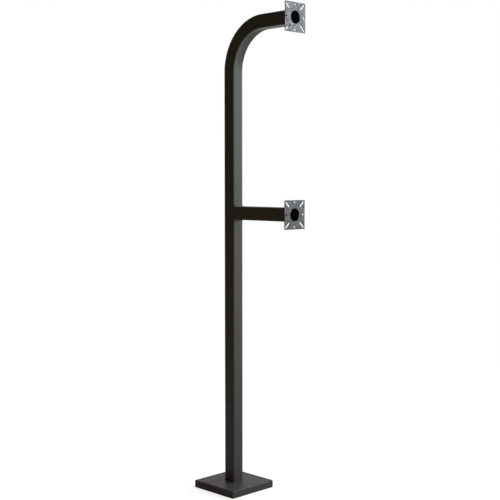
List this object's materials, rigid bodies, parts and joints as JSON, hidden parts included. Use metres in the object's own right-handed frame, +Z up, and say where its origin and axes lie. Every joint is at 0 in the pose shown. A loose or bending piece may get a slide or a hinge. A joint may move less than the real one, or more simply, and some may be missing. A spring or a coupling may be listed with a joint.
{
  "type": "dual height gooseneck pedestal",
  "caption": "Square steel post bent into a gooseneck arm, with a lower arm, both ending in square face plates for a card reader or keypad, and a sliding cover over its bolted base.",
  "frame": {"origin": "on the post's axis, where it meets the pad that the base plate stands on", "axes": "+Z up the post, -Y along both arms towards the user, so the face plates look along -Y; X across the face plates"},
  "size_m": [0.216, 0.428, 1.828],
  "materials": {
    "powder_coat": "satin",
    "cover_coat": "satin",
    "coated_weld": "satin",
    "galvanised_steel": "satin",
    "zinc_plate": "satin"
  },
  "bodies": {
    "pedestal": {"base_plate": "powder_coat", "gooseneck_post": "powder_coat", "lower_arm": "powder_coat", "upper_face_plate": "galvanised_steel", "lower_face_plate": "galvanised_steel", "post_base_weld": "coated_weld", "arm_post_weld": "coated_weld", "upper_plate_weld": "coated_weld", "lower_plate_weld": "coated_weld", "anchor_stud_1": "zinc_plate", "anchor_stud_2": "zinc_plate", "anchor_stud_3": "zinc_plate", "anchor_stud_4": "zinc_plate", "anchor_washer_1": "zinc_plate", "anchor_washer_2": "zinc_plate", "anchor_washer_3": "zinc_plate", "anchor_washer_4": "zinc_plate", "anchor_nut_1": "zinc_plate", "anchor_nut_2": "zinc_plate", "anchor_nut_3": "zinc_plate", "anchor_nut_4": "zinc_plate"},
    "cover": {"base_cover": "cover_coat"}
  },
  "joints": [
    {"name": "cover_slide", "type": "slide", "parent": "pedestal", "child": "cover", "axis": [0, 0, 1], "range_m": [0, 1.01]}
  ]
}
